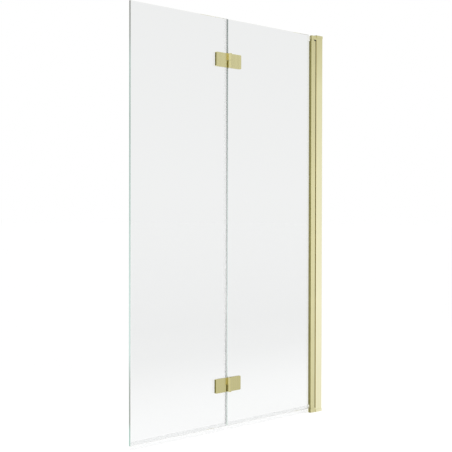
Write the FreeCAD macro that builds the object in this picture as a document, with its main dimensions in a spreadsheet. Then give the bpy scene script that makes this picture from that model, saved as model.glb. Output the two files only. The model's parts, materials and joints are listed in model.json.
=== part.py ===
import FreeCAD, Part
import Sketcher
import os

# Two-panel folding bath screen, in millimetres.
# X runs along the screen to the wall face at X = 0, Y runs to the back, Z runs up from the bath rim.

# Driving sizes
SIZES = {
    "screen_width": 1000,
    "screen_height": 1400,
    "glass_thickness": 8,
    "glass_arris": 0.6,
    "glass_foot": 16,
    "glass_drop": 1,
    "outer_glass_width": 457.5,
    "panel_gap": 10,
    # wall side
    "profile_depth": 29,
    "profile_wall": 2,
    "profile_round": 1.5,
    "post_width": 38,
    "post_box": 12,
    "wall_joint": 1,
    "slide_clearance": 0.3,
    "channel_reach": 22,
    "channel_wall": 2,
    "wall_hole_diameter": 6.5,
    "wall_hole_end": 100,
    "cap_height": 10,
    "cap_roof": 3,
    "cap_overhang": 1.5,
    "cap_round": 1,
    # pivot side
    "swing_gap": 5,
    "pivot_width": 25,
    "pivot_from_end": 6.5,
    "pivot_from_front": 7.5,
    "pivot_pin_diameter": 6,
    "pin_seat": 11,
    "pin_reach": 20,
    "bush_wall": 1.5,
    "bush_flange_diameter": 12.5,
    "bush_flange": 1.7,
    "bush_overrun": 4,
    "block_height": 14,
    "block_drop": 3,
    "block_cheek": 7,
    "foot_block_height": 15.5,
    "foot_block_lift": 1,
    "foot_block_cheek": 10.5,
    "block_inset": 1,
    "block_round": 2,
    "tongue_length": 30,
    "thrust_gap": 2,
    "plug_flange": 4,
    "foot_plug_flange": 12,
    "plug_cheek": 6.5,
    "plug_spigot": 15,
    "glass_cover": 10.5,
    "back_lip_setback": 8,
    "gasket_wall": 2,
    "gasket_floor": 1.5,
    "notch_setback": 1,
    "notch_clearance": 0.5,
    "gap_seal_base": 1,
    "gap_seal_width": 9,
    "gap_seal_behind_axis": 6,
    "gap_seal_lip": 1.2,
    "gap_seal_clearance": 0.5,
    # hinges
    "hinge_from_end": 141.5,
    "hinge_height": 48,
    "hinge_reach": 65,
    "leaf_proud": 8,
    "leaf_setback": 13,
    "leaf_corner": 4,
    "leaf_edge": 0.7,
    "pad_thickness": 1,
    "pad_inset": 1,
    "axis_lead": 12,
    "barrel_diameter": 13,
    "arm_thickness": 6,
    "leaf_lip": 2.5,
    "leaf_lip_clearance": 1.5,
    "knuckle_gap": 1.2,
    "knuckle_end": 3,
    "hinge_pin_diameter": 6,
    "knuckle_bush_wall": 1,
    "clamp_setback": 20,
    "clamp_width": 28,
    "clamp_height": 44,
    "clamp_thickness": 4.5,
    "clamp_corner": 4,
    "clamp_edge": 1,
    "clamp_screw_diameter": 6,
    "clamp_screw_head": 11,
    "clamp_screw_head_height": 2.5,
    "clamp_screw_bite": 5.5,
    "glass_hole_diameter": 14,
    # seals
    "seal_leg": 12,
    "seal_wall": 1.2,
    "seal_base": 1.6,
    "seal_tube_width": 6.8,
    "seal_tube_foot": 7,
    "seal_tube_wall": 1,
    "seal_lip": 1.6,
    "seal_lip_spread": 10,
    "seal_lip_foot": 1,
    "seal_end_gap": 0.5,
    "joint_seal_leg": 10,
    "joint_seal_wall": 1,
    "joint_seal_base": 1.5,
    "joint_seal_lip": 1.6,
    "joint_seal_clearance": 0.8,
    # fits
    "running_fit": 0.05,
    "press_fit": 0.02,
    "seat_gap": 0.2,
    "loose_fit": 0.15,
}

# Places worked out from the driving sizes
LAYOUT = {
    "half_depth": "dims.profile_depth / 2",
    "half_glass": "dims.glass_thickness / 2",
    "post_face": "-dims.post_width",
    "post_inside": "half_depth - dims.profile_wall",
    "box_back": "post_face + dims.post_box",
    "post_foot": "dims.cap_height",
    "post_top": "dims.screen_height - dims.cap_height",
    "channel_half": "post_inside - dims.slide_clearance",
    "channel_foot": "dims.cap_roof + dims.seat_gap",
    "channel_top": "dims.screen_height - channel_foot",
    "pivot_end": "post_face - dims.swing_gap",
    "pivot_face": "pivot_end - dims.pivot_width",
    "pivot_x": "pivot_end - dims.pivot_from_end",
    "pivot_y": "dims.pivot_from_front - half_depth",
    "block_face": "pivot_face + dims.block_inset",
    "block_end": "post_face - dims.seat_gap",
    "block_foot": "dims.foot_block_lift",
    "block_roof": "block_foot + dims.foot_block_height",
    "block_top": "dims.screen_height - dims.block_drop",
    "block_under": "block_top - dims.block_height",
    "tongue_front": "post_face + dims.profile_wall + dims.seat_gap",
    "tongue_back": "box_back - dims.profile_wall - dims.seat_gap",
    "tongue_half": "post_inside - dims.seat_gap",
    "wall_hole_pitch": "(dims.screen_height - 2 * dims.wall_hole_end) / 3",
    "bush_radius": "dims.pivot_pin_diameter / 2 + dims.running_fit + dims.bush_wall",
    "plug_under": "block_roof + dims.thrust_gap",
    "plug_over": "block_under - dims.thrust_gap",
    "profile_foot": "plug_under + dims.foot_plug_flange",
    "profile_top": "plug_over - dims.plug_flange",
    "channel_side": "half_glass + dims.gasket_wall",
    "profile_back": "channel_side + dims.profile_wall",
    "back_lip": "pivot_face + dims.back_lip_setback",
    "glass_seat": "pivot_face + dims.glass_cover",
    "channel_floor": "glass_seat + dims.gasket_floor",
    "notch_face": "pivot_face - dims.notch_setback",
    "notch_foot": "profile_foot + dims.notch_clearance",
    "notch_top": "profile_top - dims.notch_clearance",
    "chamber_left": "channel_floor + dims.profile_wall",
    "chamber_right": "pivot_end - dims.profile_wall",
    "chamber_front": "pivot_y + bush_radius + dims.profile_wall",
    "glass_top": "dims.screen_height - dims.glass_drop",
    "free_edge": "-dims.screen_width",
    "outer_edge": "free_edge + dims.outer_glass_width",
    "inner_edge": "outer_edge + dims.panel_gap",
    "fold_x": "outer_edge + dims.panel_gap / 2",
    "fold_y": "-half_glass - dims.axis_lead",
    "lower_hinge": "dims.glass_foot + dims.hinge_from_end",
    "upper_hinge": "glass_top - dims.hinge_from_end",
    "half_hinge": "dims.hinge_height / 2",
    "half_knuckle": "dims.knuckle_gap / 2",
    "barrel_radius": "dims.barrel_diameter / 2",
    "leaf_front": "dims.axis_lead - dims.leaf_proud",
    "leaf_back": "dims.axis_lead - dims.pad_thickness",
    "clamp_front": "dims.axis_lead + dims.glass_thickness + dims.pad_thickness",
    "clamp_back": "clamp_front + dims.clamp_thickness",
    "clamp_x": "dims.clamp_setback + dims.clamp_width / 2",
    "clamp_screw_radius": "dims.clamp_screw_diameter / 2",
    "clamp_hole_radius": "clamp_screw_radius + dims.loose_fit",
    "clamp_sink": "dims.clamp_screw_head_height + dims.seat_gap",
    "seal_inside": "half_glass + dims.loose_fit",
    "seal_outside": "seal_inside + dims.seal_wall",
    "seal_floor": "dims.glass_foot - dims.loose_fit",
    "seal_under": "seal_floor - dims.seal_base",
    "seal_top": "dims.glass_foot + dims.seal_leg",
}

SIDES = {"outer": -1, "inner": 1}
LEVELS = {"upper": "layout.upper_hinge", "lower": "layout.lower_hinge"}

doc = FreeCAD.newDocument("bath_screen")


# Spreadsheets
def fill_sheet(name, cells, lead):
    sheet = doc.addObject("Spreadsheet::Sheet", name)
    for row, (alias, content) in enumerate(cells.items(), start=1):
        sheet.set(f"A{row}", alias)
        sheet.set(f"B{row}", f"{lead}{content}")
        sheet.setAlias(f"B{row}", alias)
    doc.recompute()
    return sheet


dims = fill_sheet("dims", SIZES, "")
layout = fill_sheet("layout", LAYOUT, "=")


def value(expression):
    return float(layout.evalExpression(expression))


# Bodies and sketches
def new_body(label, place=None):
    body = doc.addObject("PartDesign::Body", label)
    body.Label = label
    body.AllowCompound = True
    if place:
        for axis, expression in zip("xyz", place):
            body.setExpression(f"Placement.Base.{axis}", expression)
    return body


def new_sketch(body, role, offset="0"):
    sketch = body.newObject("Sketcher::SketchObject", f"{body.Label}_sketch")
    plane = [feature for feature in body.Origin.OriginFeatures if feature.Role == role][0]
    sketch.AttachmentSupport = [(plane, "")]
    sketch.MapMode = "FlatFace"
    sketch.setExpression("AttachmentOffset.Base.z", offset)
    return sketch


def tie(sketch, kind, edge, point, expression):
    rule = Sketcher.Constraint(kind, -1, 1, edge, point, value(expression))
    sketch.setExpression(f"Constraints[{sketch.addConstraint(rule)}]", expression)


def outline(sketch, corners):
    first = sketch.GeometryCount
    points = [FreeCAD.Vector(value(x), value(y), 0) for x, y in corners]
    count = len(points)
    for i in range(count):
        sketch.addGeometry(Part.LineSegment(points[i], points[(i + 1) % count]), False)
    for i in range(count):
        rule = Sketcher.Constraint("Coincident", first + i, 2, first + (i + 1) % count, 1)
        sketch.addConstraint(rule)
    for i, (x, y) in enumerate(corners):
        tie(sketch, "DistanceX", first + i, 1, x)
        tie(sketch, "DistanceY", first + i, 1, y)


def rectangle(sketch, x0, x1, y0, y1):
    outline(sketch, [(x0, y0), (x1, y0), (x1, y1), (x0, y1)])


def circle(sketch, x, y, radius):
    centre = FreeCAD.Vector(value(x), value(y), 0)
    up = FreeCAD.Vector(0, 0, 1)
    edge = sketch.addGeometry(Part.Circle(centre, up, value(radius)), False)
    tie(sketch, "DistanceX", edge, 3, x)
    tie(sketch, "DistanceY", edge, 3, y)
    size = sketch.addConstraint(Sketcher.Constraint("Radius", edge, value(radius)))
    sketch.setExpression(f"Constraints[{size}]", radius)


def pad(body, sketch, length, reverse=False, both_ways=False):
    feature = body.newObject("PartDesign::Pad", f"{body.Label}_pad")
    feature.Profile = sketch
    feature.Reversed = reverse
    feature.SideType = "Symmetric" if both_ways else "One side"
    feature.setExpression("Length", length)
    doc.recompute()
    return feature


def pocket(body, sketch, length, reverse=False):
    before = body.Shape.Volume
    feature = body.newObject("PartDesign::Pocket", f"{body.Label}_pocket")
    feature.Profile = sketch
    feature.Reversed = reverse
    feature.setExpression("Length", length)
    doc.recompute()
    if body.Shape.Volume >= before:
        raise RuntimeError(f"a pocket in {body.Label} cuts nothing")
    return feature


def dress(body, kind, size, wanted):
    """Fillet or chamfer the edges of the body's last feature that wanted(edge) picks."""
    base = body.Tip
    names = [f"Edge{i}" for i, edge in enumerate(base.Shape.Edges, start=1) if wanted(edge)]
    feature = body.newObject(f"PartDesign::{kind}", f"{body.Label}_{kind.lower()}")
    feature.Base = (base, names)
    feature.setExpression("Radius" if kind == "Fillet" else "Size", size)
    doc.recompute()
    return feature


def lies_at(edge, axis, expression):
    box = edge.BoundBox
    spans = {"x": (box.XMin, box.XMax), "y": (box.YMin, box.YMax), "z": (box.ZMin, box.ZMax)}
    return all(abs(end - value(expression)) < 1e-4 for end in spans[axis])


def on_either_face(edge, half):
    return lies_at(edge, "y", half) or lies_at(edge, "y", f"-{half}")


def straight_along(edge, axis):
    if edge.Curve.TypeId != "Part::GeomLine":
        return False
    return abs(abs(getattr(edge.Curve.Direction, axis)) - 1) < 1e-6


# Round pieces from primitives
def cylinder(name, radius, height, place, along_y=False):
    solid = doc.addObject("Part::Cylinder", name)
    solid.setExpression("Radius", radius)
    solid.setExpression("Height", height)
    put(solid, place, along_y)
    return solid


def put(solid, place, along_y):
    if along_y:
        solid.Placement.Rotation = FreeCAD.Rotation(FreeCAD.Vector(1, 0, 0), -90)
    for axis, expression in zip("xyz", place):
        solid.setExpression(f"Placement.Base.{axis}", expression)


def fused(name, solids):
    joined = doc.addObject("Part::MultiFuse", name)
    joined.Shapes = solids
    return joined


def cut(name, base, tool):
    left = doc.addObject("Part::Cut", name)
    left.Base = base
    left.Tool = tool
    return left


def group(name, solids):
    several = doc.addObject("Part::Compound", name)
    several.Links = solids
    return several


# Wall channel, a plain U screwed to the wall with four holes in its web
def wall_hole_heights():
    return [f"dims.wall_hole_end + {i} * layout.wall_hole_pitch" for i in range(4)]


def make_wall_channel():
    body = new_body("wall_channel")
    section = new_sketch(body, "XY_Plane", "layout.channel_foot")
    inside = "(layout.channel_half - dims.channel_wall)"
    outline(
        section,
        [
            ("0", "-layout.channel_half"),
            ("0", "layout.channel_half"),
            ("-dims.channel_reach", "layout.channel_half"),
            ("-dims.channel_reach", inside),
            ("-dims.channel_wall", inside),
            ("-dims.channel_wall", f"-{inside}"),
            ("-dims.channel_reach", f"-{inside}"),
            ("-dims.channel_reach", "-layout.channel_half"),
        ],
    )
    pad(body, section, "layout.channel_top - layout.channel_foot")
    holes = new_sketch(body, "YZ_Plane")
    for height in wall_hole_heights():
        circle(holes, "0", height, "dims.wall_hole_diameter / 2")
    pocket(body, holes, "dims.channel_wall")
    return body


# Hinge post, the visible wall profile: a box at its free end and two walls that slide over the channel
def make_hinge_post():
    body = new_body("hinge_post")
    section = new_sketch(body, "XY_Plane", "layout.post_foot")
    outline(
        section,
        [
            ("layout.post_face", "-layout.half_depth"),
            ("-dims.wall_joint", "-layout.half_depth"),
            ("-dims.wall_joint", "-layout.post_inside"),
            ("layout.box_back", "-layout.post_inside"),
            ("layout.box_back", "layout.post_inside"),
            ("-dims.wall_joint", "layout.post_inside"),
            ("-dims.wall_joint", "layout.half_depth"),
            ("layout.post_face", "layout.half_depth"),
        ],
    )
    rectangle(
        section,
        "layout.post_face + dims.profile_wall",
        "layout.box_back - dims.profile_wall",
        "-layout.post_inside",
        "layout.post_inside",
    )
    pad(body, section, "layout.post_top - layout.post_foot")
    dress(
        body,
        "Fillet",
        "dims.profile_round",
        lambda edge: straight_along(edge, "z") and lies_at(edge, "x", "layout.post_face"),
    )
    return body


# Plan of a block or plug: straight at the front and slanted off behind, clear of the glass corner
def slanted_plan(sketch, end, cheek):
    cheek_back = f"({cheek} - layout.half_depth)"
    outline(
        sketch,
        [
            ("layout.block_face", "-layout.half_depth"),
            (end, "-layout.half_depth"),
            (end, "layout.profile_back"),
            (f"layout.block_face + layout.profile_back - {cheek_back}", "layout.profile_back"),
            ("layout.block_face", cheek_back),
        ],
    )


# Pivot blocks, each with a bridge over the post's end and a tongue down inside it
def make_pivot_block(label, top):
    body = new_body(label)
    face, start, reverse = ("layout.block_top", "layout.post_top", True)
    height, cheek = ("dims.block_height", "dims.block_cheek")
    if not top:
        face, start, reverse = ("layout.block_foot", "layout.post_foot", False)
        height, cheek = ("dims.foot_block_height", "dims.foot_block_cheek")
    sign = 1 if top else -1
    head = new_sketch(body, "XY_Plane", face)
    slanted_plan(head, "layout.block_end", cheek)
    pad(body, head, height, reverse=reverse)
    dress(
        body,
        "Fillet",
        "dims.block_round",
        lambda edge: straight_along(edge, "z") and lies_at(edge, "x", "layout.block_face"),
    )
    bridge = new_sketch(body, "XY_Plane", f"{start} + {sign} * dims.seat_gap")
    rectangle(
        bridge,
        "layout.block_end - dims.block_round",
        "layout.tongue_back",
        "-layout.tongue_half",
        "layout.profile_back - dims.seat_gap",
    )
    rise = "dims.cap_height - dims.cap_roof - 2 * dims.seat_gap"
    pad(body, bridge, rise, reverse=not reverse)
    tongue = new_sketch(body, "XY_Plane", f"{start} + {sign} * dims.seat_gap")
    rectangle(
        tongue,
        "layout.tongue_front",
        "layout.tongue_back",
        "-layout.tongue_half",
        "layout.tongue_half",
    )
    pad(body, tongue, "dims.tongue_length", reverse=reverse)
    bore = new_sketch(body, "XY_Plane", "layout.block_under" if top else "layout.block_roof")
    circle(bore, "layout.pivot_x", "layout.pivot_y", "dims.pivot_pin_diameter / 2 + dims.press_fit")
    pocket(body, bore, "dims.pin_seat", reverse=top)
    return body


# Post caps, lids whose skirts stand on the post's walls and hide the channel and the bridge
def make_post_cap(label, top):
    body = new_body(label)
    half = "(layout.half_depth + dims.cap_overhang)"
    lid = new_sketch(body, "XY_Plane", "dims.screen_height" if top else "0")
    rectangle(lid, "layout.post_face", "-dims.wall_joint", f"-{half}", half)
    pad(body, lid, "dims.cap_height", reverse=top)
    inside = new_sketch(body, "XY_Plane", "layout.post_top" if top else "layout.post_foot")
    rectangle(
        inside,
        "layout.post_face",
        "-dims.wall_joint",
        "-layout.post_inside",
        "layout.post_inside",
    )
    pocket(body, inside, "dims.cap_height - dims.cap_roof", reverse=top)
    shut = "dims.screen_height" if top else "0"
    dress(
        body,
        "Fillet",
        "dims.cap_round",
        lambda edge: straight_along(edge, "x") and lies_at(edge, "z", shut),
    )
    return body


# Pivot pins pressed into the blocks
def make_pivot_pins():
    length = "dims.pin_reach + dims.pin_seat"
    feet = {
        "top": "layout.block_under - dims.pin_reach",
        "bottom": "layout.block_roof - dims.pin_seat",
    }
    pins = []
    for end, foot in feet.items():
        place = ("layout.pivot_x", "layout.pivot_y", foot)
        pins.append(cylinder(f"{end}_pivot_pin", "dims.pivot_pin_diameter / 2", length, place))
    return group("pivot_pins", pins)


# Soft strip on the post's free end that closes the swing gap behind the pivot axis
def make_gap_seal():
    body = new_body("gap_seal")
    start = "layout.block_roof + dims.seat_gap"
    section = new_sketch(body, "XY_Plane", start)
    near_side = "(layout.pivot_y + dims.gap_seal_behind_axis)"
    far_side = f"({near_side} + dims.gap_seal_width)"
    middle = f"({near_side} + dims.gap_seal_width / 2)"
    base = "layout.post_face - dims.gap_seal_base"
    tip = "layout.pivot_end + dims.gap_seal_clearance"
    outline(
        section,
        [
            ("layout.post_face", near_side),
            ("layout.post_face", far_side),
            (base, far_side),
            (base, f"{middle} + dims.gap_seal_lip"),
            (tip, f"{middle} + dims.gap_seal_lip / 2"),
            (tip, f"{middle} - dims.gap_seal_lip / 2"),
            (base, f"{middle} - dims.gap_seal_lip"),
            (base, near_side),
        ],
    )
    pad(body, section, f"layout.block_under - dims.seat_gap - ({start})")
    return body


# Edges that show on the pivot profile and its plugs: both front corners and the back one at the post
def on_outer_corner(edge):
    at_back = lies_at(edge, "y", "layout.profile_back") and lies_at(edge, "x", "layout.pivot_end")
    return at_back or lies_at(edge, "y", "-layout.half_depth")


# Pivot profile: a glass channel with a deep front cheek and a short back lip, and a bore for the bushes
def make_pivot_profile():
    body = new_body("pivot_profile")
    section = new_sketch(body, "XY_Plane", "layout.profile_foot")
    outline(
        section,
        [
            ("layout.pivot_face", "-layout.half_depth"),
            ("layout.pivot_end", "-layout.half_depth"),
            ("layout.pivot_end", "layout.profile_back"),
            ("layout.back_lip", "layout.profile_back"),
            ("layout.back_lip", "layout.channel_side"),
            ("layout.channel_floor", "layout.channel_side"),
            ("layout.channel_floor", "-layout.channel_side"),
            ("layout.pivot_face", "-layout.channel_side"),
        ],
    )
    cheek_near = "(layout.channel_side + dims.profile_wall)"
    cheek_far = "(layout.half_depth - dims.profile_wall)"
    left = "layout.pivot_face + dims.profile_wall"
    rectangle(section, left, "layout.channel_floor", f"-{cheek_far}", f"-{cheek_near}")
    rectangle(
        section,
        "layout.chamber_left",
        "layout.chamber_right",
        "layout.chamber_front",
        "layout.channel_side",
    )
    circle(section, "layout.pivot_x", "layout.pivot_y", "layout.bush_radius + dims.press_fit")
    pad(body, section, "layout.profile_top - layout.profile_foot")
    dress(
        body,
        "Fillet",
        "dims.profile_round",
        lambda edge: straight_along(edge, "z") and on_outer_corner(edge),
    )
    return body


# End plugs of the pivot profile
def make_pivot_plug(label, top):
    body = new_body(label)
    flange = new_sketch(body, "XY_Plane", "layout.profile_top" if top else "layout.profile_foot")
    slanted_plan(flange, "layout.pivot_end", "dims.plug_cheek")
    circle(flange, "layout.pivot_x", "layout.pivot_y", "layout.bush_radius + dims.press_fit")
    pad(body, flange, "dims.plug_flange" if top else "dims.foot_plug_flange", reverse=not top)
    dress(
        body,
        "Fillet",
        "dims.profile_round",
        lambda edge: straight_along(edge, "z") and on_outer_corner(edge),
    )
    spigot = new_sketch(body, "XY_Plane", "layout.profile_top" if top else "layout.profile_foot")
    rectangle(
        spigot,
        "layout.chamber_left + dims.seat_gap",
        "layout.chamber_right - dims.seat_gap",
        "layout.chamber_front + dims.seat_gap",
        "layout.channel_side - dims.seat_gap",
    )
    pad(body, spigot, "dims.plug_spigot", reverse=top)
    return body


# Flanged bushes in the plugs and the profile's bore, running on the pins
def make_pivot_bush(label, top):
    body = new_body(label)
    start = "layout.plug_over" if top else "layout.plug_under"
    length = "(dims.pin_reach - dims.thrust_gap + dims.bush_overrun)"
    sleeve = new_sketch(body, "XY_Plane", start)
    circle(sleeve, "layout.pivot_x", "layout.pivot_y", "layout.bush_radius")
    pad(body, sleeve, length, reverse=top)
    collar = new_sketch(body, "XY_Plane", start)
    circle(collar, "layout.pivot_x", "layout.pivot_y", "dims.bush_flange_diameter / 2")
    pad(body, collar, "dims.bush_flange", reverse=not top)
    mouth = f"{start} + {1 if top else -1} * dims.bush_flange"
    bore = new_sketch(body, "XY_Plane", mouth)
    circle(bore, "layout.pivot_x", "layout.pivot_y", "dims.pivot_pin_diameter / 2 + dims.running_fit")
    pocket(body, bore, f"dims.bush_flange + {length}", reverse=not top)
    return body


def make_pivot_bushes():
    ends = {"top": True, "bottom": False}
    return group("pivot_bushes", [make_pivot_bush(f"{end}_pivot_bush", top) for end, top in ends.items()])


# Soft gasket round the glass edge in the pivot profile
def make_glazing_gasket():
    body = new_body("glazing_gasket")
    section = new_sketch(body, "XY_Plane", "layout.profile_foot")
    outline(
        section,
        [
            ("layout.pivot_face", "-layout.channel_side"),
            ("layout.channel_floor", "-layout.channel_side"),
            ("layout.channel_floor", "layout.channel_side"),
            ("layout.back_lip", "layout.channel_side"),
            ("layout.back_lip", "layout.half_glass"),
            ("layout.glass_seat", "layout.half_glass"),
            ("layout.glass_seat", "-layout.half_glass"),
            ("layout.pivot_face", "-layout.half_glass"),
        ],
    )
    pad(body, section, "layout.profile_top - layout.profile_foot")
    return body


# Glass panels with one clamp hole at each hinge
def make_glass(label, side, corners):
    body = new_body(label)
    face = new_sketch(body, "XZ_Plane")
    outline(face, corners)
    for level in LEVELS.values():
        hole_x = f"layout.fold_x + {side} * layout.clamp_x"
        circle(face, hole_x, level, "dims.glass_hole_diameter / 2")
    pad(body, face, "dims.glass_thickness", both_ways=True)
    dress(
        body,
        "Chamfer",
        "dims.glass_arris",
        lambda edge: not edge.isClosed() and on_either_face(edge, "layout.half_glass"),
    )
    return body


def make_outer_glass():
    corners = [
        ("layout.free_edge", "dims.glass_foot"),
        ("layout.outer_edge", "dims.glass_foot"),
        ("layout.outer_edge", "layout.glass_top"),
        ("layout.free_edge", "layout.glass_top"),
    ]
    return make_glass("outer_glass", SIDES["outer"], corners)


def make_inner_glass():
    corners = [
        ("layout.inner_edge", "dims.glass_foot"),
        ("layout.notch_face", "dims.glass_foot"),
        ("layout.notch_face", "layout.notch_foot"),
        ("layout.glass_seat", "layout.notch_foot"),
        ("layout.glass_seat", "layout.notch_top"),
        ("layout.notch_face", "layout.notch_top"),
        ("layout.notch_face", "layout.glass_top"),
        ("layout.inner_edge", "layout.glass_top"),
    ]
    return make_glass("inner_glass", SIDES["inner"], corners)


# Hinge leaves, drawn about the fold axis: a plate on the glass, a knuckle and a lip behind the other knuckle
def make_leaf(label, side, level):
    body = new_body(label, ("layout.fold_x", "layout.fold_y", level))
    plate = new_sketch(body, "XZ_Plane", "-layout.leaf_back")
    rectangle(
        plate,
        f"{side} * dims.hinge_reach",
        f"{side} * dims.leaf_setback",
        "-layout.half_hinge",
        "layout.half_hinge",
    )
    pad(body, plate, "layout.leaf_back - layout.leaf_front")
    dress(
        body,
        "Fillet",
        "dims.leaf_corner",
        lambda edge: straight_along(edge, "y") and lies_at(edge, "x", f"{side} * dims.hinge_reach"),
    )
    dress(
        body,
        "Chamfer",
        "dims.leaf_edge",
        lambda edge: lies_at(edge, "y", "layout.leaf_front")
        and not lies_at(edge, "x", f"{side} * dims.leaf_setback"),
    )
    # the outer leaf carries the upper knuckle and the inner leaf the lower one
    start = f"{-side} * layout.half_knuckle"
    length = "layout.half_hinge - layout.half_knuckle"
    down = side > 0
    arm = new_sketch(body, "XY_Plane", start)
    rectangle(
        arm,
        f"{side} * (dims.leaf_setback + dims.leaf_edge)",
        "0",
        "layout.leaf_front",
        "layout.leaf_front + dims.arm_thickness",
    )
    pad(body, arm, length, reverse=down)
    lip = new_sketch(body, "XY_Plane", f"{side} * layout.half_knuckle")
    rectangle(
        lip,
        f"{side} * (dims.leaf_setback + dims.leaf_edge)",
        f"{side} * dims.leaf_lip_clearance",
        "layout.leaf_back - dims.leaf_lip",
        "layout.leaf_back",
    )
    pad(body, lip, length, reverse=not down)
    barrel = new_sketch(body, "XY_Plane", start)
    circle(barrel, "0", "0", "layout.barrel_radius")
    pad(body, barrel, length, reverse=down)
    bore = new_sketch(body, "XY_Plane", start)
    pin = "dims.hinge_pin_diameter / 2 + dims.press_fit"
    lined = f"{pin} + dims.running_fit + dims.knuckle_bush_wall"
    circle(bore, "0", "0", pin if down else lined)
    pocket(body, bore, f"{length} - dims.knuckle_end", reverse=not down)
    tap = new_sketch(body, "XZ_Plane", "-layout.leaf_back")
    circle(tap, f"{side} * layout.clamp_x", "0", "layout.clamp_screw_radius + dims.press_fit")
    pocket(body, tap, "dims.clamp_screw_bite", reverse=True)
    return body


# Clamp plates on the back of the glass, counterbored for a screw
def make_clamp_plate(label, side, level):
    body = new_body(label, ("layout.fold_x", "layout.fold_y", level))
    plate = new_sketch(body, "XZ_Plane", "-layout.clamp_front")
    rectangle(
        plate,
        f"{side} * dims.clamp_setback",
        f"{side} * (dims.clamp_setback + dims.clamp_width)",
        "-dims.clamp_height / 2",
        "dims.clamp_height / 2",
    )
    circle(plate, f"{side} * layout.clamp_x", "0", "layout.clamp_hole_radius")
    pad(body, plate, "dims.clamp_thickness", reverse=True)
    corners = (f"{side} * dims.clamp_setback", f"{side} * (dims.clamp_setback + dims.clamp_width)")
    dress(
        body,
        "Chamfer",
        "dims.clamp_corner",
        lambda edge: straight_along(edge, "y") and any(lies_at(edge, "x", x) for x in corners),
    )
    dress(
        body,
        "Chamfer",
        "dims.clamp_edge",
        lambda edge: not edge.isClosed() and lies_at(edge, "y", "layout.clamp_back"),
    )
    sink = new_sketch(body, "XZ_Plane", "-layout.clamp_back")
    circle(sink, f"{side} * layout.clamp_x", "0", "dims.clamp_screw_head / 2 + dims.loose_fit")
    pocket(body, sink, "layout.clamp_sink", reverse=True)
    return body


def make_clamp_plates(label, side):
    plates = [make_clamp_plate(f"{label}_{name}", side, level) for name, level in LEVELS.items()]
    return group(label, plates)


# Soft pads between metal and glass; the front one has a collar that lines the glass hole
def make_hinge_pads(label, side):
    pads = []
    hole_x = f"{side} * layout.clamp_x"
    for name, level in LEVELS.items():
        place = ("layout.fold_x", "layout.fold_y", level)
        front = new_body(f"{label}_{name}_front", place)
        sheet = new_sketch(front, "XZ_Plane", "-layout.leaf_back")
        rectangle(
            sheet,
            f"{side} * (dims.leaf_setback + dims.pad_inset)",
            f"{side} * (dims.hinge_reach - dims.pad_inset)",
            "dims.pad_inset - layout.half_hinge",
            "layout.half_hinge - dims.pad_inset",
        )
        pad(front, sheet, "dims.pad_thickness", reverse=True)
        depth = "dims.pad_thickness + dims.glass_thickness - dims.seat_gap"
        collar = new_sketch(front, "XZ_Plane", "-layout.leaf_back")
        circle(collar, hole_x, "0", "dims.glass_hole_diameter / 2 - dims.loose_fit")
        pad(front, collar, depth, reverse=True)
        bore = new_sketch(front, "XZ_Plane", "-layout.leaf_back")
        circle(bore, hole_x, "0", "layout.clamp_hole_radius")
        pocket(front, bore, depth)
        back = new_body(f"{label}_{name}_back", place)
        under = new_sketch(back, "XZ_Plane", "-(dims.axis_lead + dims.glass_thickness)")
        rectangle(
            under,
            f"{side} * (dims.clamp_setback + dims.pad_inset)",
            f"{side} * (dims.clamp_setback + dims.clamp_width - dims.pad_inset)",
            "dims.pad_inset - dims.clamp_height / 2",
            "dims.clamp_height / 2 - dims.pad_inset",
        )
        circle(under, hole_x, "0", "layout.clamp_hole_radius")
        pad(back, under, "dims.pad_thickness", reverse=True)
        pads += [front, back]
    return group(label, pads)


# Clamp screws, from the clamp plates through the glass into the leaves
def make_clamp_screws(label, side):
    screws = []
    hole_x = f"layout.fold_x + {side} * layout.clamp_x"
    tip = "(layout.leaf_back - dims.clamp_screw_bite + dims.seat_gap)"
    neck = "(layout.clamp_back - layout.clamp_sink)"
    for name, level in LEVELS.items():
        shank = cylinder(
            f"{label}_{name}_shank",
            "layout.clamp_screw_radius",
            f"{neck} - {tip}",
            (hole_x, f"layout.fold_y + {tip}", level),
            along_y=True,
        )
        head = cylinder(
            f"{label}_{name}_head",
            "dims.clamp_screw_head / 2",
            "dims.clamp_screw_head_height",
            (hole_x, f"layout.fold_y + {neck}", level),
            along_y=True,
        )
        screws.append(fused(f"{label}_{name}", [shank, head]))
    return group(label, screws)


# Hinge pins pressed into the lower knuckles
def make_hinge_pins():
    reach = "(layout.half_hinge - dims.knuckle_end - dims.seat_gap)"
    pins = []
    for name, level in LEVELS.items():
        place = ("layout.fold_x", "layout.fold_y", f"{level} - {reach}")
        pins.append(cylinder(f"{name}_hinge_pin", "dims.hinge_pin_diameter / 2", f"2 * {reach}", place))
    return group("hinge_pins", pins)


# Flanged bushes in the upper knuckles; the flange parts the two knuckles
def make_knuckle_bushes():
    bushes = []
    inside = "dims.hinge_pin_diameter / 2 + dims.running_fit"
    depth = "(layout.half_hinge - layout.half_knuckle - dims.knuckle_end)"
    flange = "(dims.knuckle_gap - dims.seat_gap)"
    for name, level in LEVELS.items():
        seat = f"{level} + layout.half_knuckle"
        sleeve = cylinder(
            f"knuckle_sleeve_{name}",
            f"{inside} + dims.knuckle_bush_wall",
            depth,
            ("layout.fold_x", "layout.fold_y", seat),
        )
        collar = cylinder(
            f"knuckle_collar_{name}",
            "layout.barrel_radius",
            flange,
            ("layout.fold_x", "layout.fold_y", f"{seat} - {flange}"),
        )
        bore = cylinder(
            f"knuckle_bore_{name}",
            inside,
            f"{flange} + {depth}",
            ("layout.fold_x", "layout.fold_y", f"{seat} - {flange}"),
        )
        solid = fused(f"knuckle_blank_{name}", [sleeve, collar])
        bushes.append(cut(f"knuckle_bush_{name}", solid, bore))
    return group("knuckle_bushes", bushes)


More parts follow.
